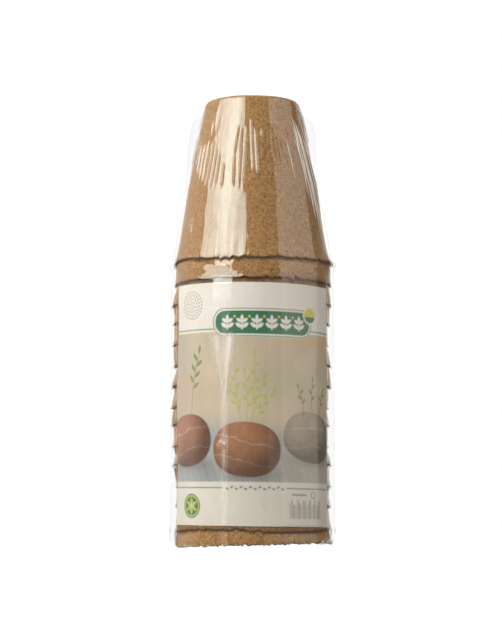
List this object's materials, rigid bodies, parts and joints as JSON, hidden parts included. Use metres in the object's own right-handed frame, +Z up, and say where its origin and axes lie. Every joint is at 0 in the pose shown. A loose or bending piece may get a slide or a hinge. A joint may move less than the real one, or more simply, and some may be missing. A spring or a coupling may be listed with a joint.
{
  "type": "wrapped stack of peat pots",
  "caption": "Nested round pots of pressed peat, upside down in a tall stack, held by clear shrink film with a curved card label under it; the wrap pulls off and the pots draw apart.",
  "frame": {"origin": "on the axis of the stack, on the plane that the lowest rim stands on", "axes": "+Z up along the stack, from the open mouth of the lowest pot to the closed base of the top one; the card label faces -Y, and the film's welded seams run down the -X and +X sides"},
  "size_m": [0.0848, 0.0818, 0.229],
  "materials": {
    "peat": "matte",
    "card": "matte",
    "film": "gloss"
  },
  "bodies": {
    "pot_15": {"pot_15": "peat"},
    "pot_14": {"pot_14": "peat"},
    "pot_13": {"pot_13": "peat"},
    "pot_12": {"pot_12": "peat"},
    "pot_11": {"pot_11": "peat"},
    "pot_10": {"pot_10": "peat"},
    "pot_09": {"pot_09": "peat"},
    "pot_08": {"pot_08": "peat"},
    "pot_07": {"pot_07": "peat"},
    "pot_06": {"pot_06": "peat"},
    "pot_05": {"pot_05": "peat"},
    "pot_04": {"pot_04": "peat"},
    "pot_03": {"pot_03": "peat"},
    "pot_02": {"pot_02": "peat"},
    "pot_01": {"pot_01": "peat"},
    "wrap": {"film_wrap": "film", "label_card": "card"}
  },
  "joints": [
    {"name": "draw_pot_14", "type": "slide", "parent": "pot_15", "child": "pot_14", "axis": [0, 0, 1], "range_m": [0, 0.085]},
    {"name": "draw_pot_13", "type": "slide", "parent": "pot_14", "child": "pot_13", "axis": [0, 0, 1], "range_m": [0, 0.085]},
    {"name": "draw_pot_12", "type": "slide", "parent": "pot_13", "child": "pot_12", "axis": [0, 0, 1], "range_m": [0, 0.085]},
    {"name": "draw_pot_11", "type": "slide", "parent": "pot_12", "child": "pot_11", "axis": [0, 0, 1], "range_m": [0, 0.085]},
    {"name": "draw_pot_10", "type": "slide", "parent": "pot_11", "child": "pot_10", "axis": [0, 0, 1], "range_m": [0, 0.085]},
    {"name": "draw_pot_09", "type": "slide", "parent": "pot_10", "child": "pot_09", "axis": [0, 0, 1], "range_m": [0, 0.085]},
    {"name": "draw_pot_08", "type": "slide", "parent": "pot_09", "child": "pot_08", "axis": [0, 0, 1], "range_m": [0, 0.085]},
    {"name": "draw_pot_07", "type": "slide", "parent": "pot_08", "child": "pot_07", "axis": [0, 0, 1], "range_m": [0, 0.085]},
    {"name": "draw_pot_06", "type": "slide", "parent": "pot_07", "child": "pot_06", "axis": [0, 0, 1], "range_m": [0, 0.085]},
    {"name": "draw_pot_05", "type": "slide", "parent": "pot_06", "child": "pot_05", "axis": [0, 0, 1], "range_m": [0, 0.085]},
    {"name": "draw_pot_04", "type": "slide", "parent": "pot_05", "child": "pot_04", "axis": [0, 0, 1], "range_m": [0, 0.085]},
    {"name": "draw_pot_03", "type": "slide", "parent": "pot_04", "child": "pot_03", "axis": [0, 0, 1], "range_m": [0, 0.085]},
    {"name": "draw_pot_02", "type": "slide", "parent": "pot_03", "child": "pot_02", "axis": [0, 0, 1], "range_m": [0, 0.085]},
    {"name": "draw_pot_01", "type": "slide", "parent": "pot_02", "child": "pot_01", "axis": [0, 0, 1], "range_m": [0, 0.085]},
    {"name": "pull_off_wrap", "type": "slide", "parent": "pot_01", "child": "wrap", "axis": [0, 0, 1], "range_m": [0, 0.23]}
  ]
}
